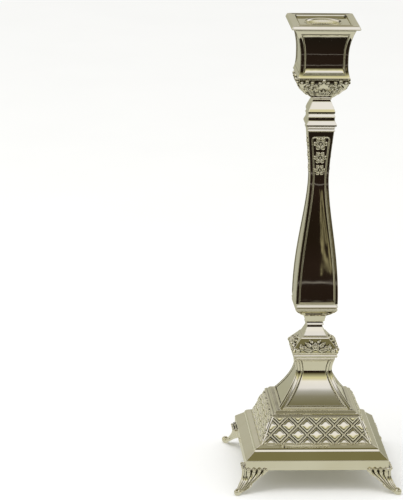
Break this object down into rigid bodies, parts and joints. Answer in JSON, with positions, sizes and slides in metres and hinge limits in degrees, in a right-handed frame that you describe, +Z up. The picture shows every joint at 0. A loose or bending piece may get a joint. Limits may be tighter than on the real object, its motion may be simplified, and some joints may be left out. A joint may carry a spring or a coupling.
{
  "type": "candlestick",
  "caption": "Square tapering silver candlestick with a lift-out nozzle, waisted cup, framed stem panels, relief knop, latticed stepped base and splayed leaf feet.",
  "frame": {"origin": "on the vertical axis, at the level of the surface that the feet stand on", "axes": "+Z up along the stem, -Y towards the front face, +X to the right of the front face"},
  "size_m": [0.1264, 0.1264, 0.351],
  "materials": {
    "silver_plate": "polished silver plate with a slight warm tint",
    "steel_hardware": "zinc-plated steel",
    "brass_hardware": "plain turned brass"
  },
  "bodies": {
    "candlestick": {"cup_shell": "silver_plate", "cup_bowl": "silver_plate", "cup_washer": "brass_hardware", "top_nut": "brass_hardware", "neck": "silver_plate", "stem": "silver_plate", "stem_rosettes": "silver_plate", "stem_top_bush": "brass_hardware", "stem_bottom_bush": "brass_hardware", "stem_foot": "silver_plate", "waist_spool": "silver_plate", "knop": "silver_plate", "base_dome": "silver_plate", "lattice_band": "silver_plate", "plinth": "silver_plate", "foot_front_right": "silver_plate", "foot_front_left": "silver_plate", "foot_back_left": "silver_plate", "foot_back_right": "silver_plate", "tie_rod": "steel_hardware", "bridge_plate": "steel_hardware", "bottom_washer": "steel_hardware", "bottom_nut": "steel_hardware"},
    "nozzle": {"nozzle_pan": "silver_plate", "nozzle_socket": "silver_plate", "nozzle_skirt": "silver_plate"}
  },
  "joints": [
    {"name": "nozzle_lift", "type": "slide", "parent": "candlestick", "child": "nozzle", "axis": [0, 0, 1], "range_m": [0, 0.04]}
  ]
}
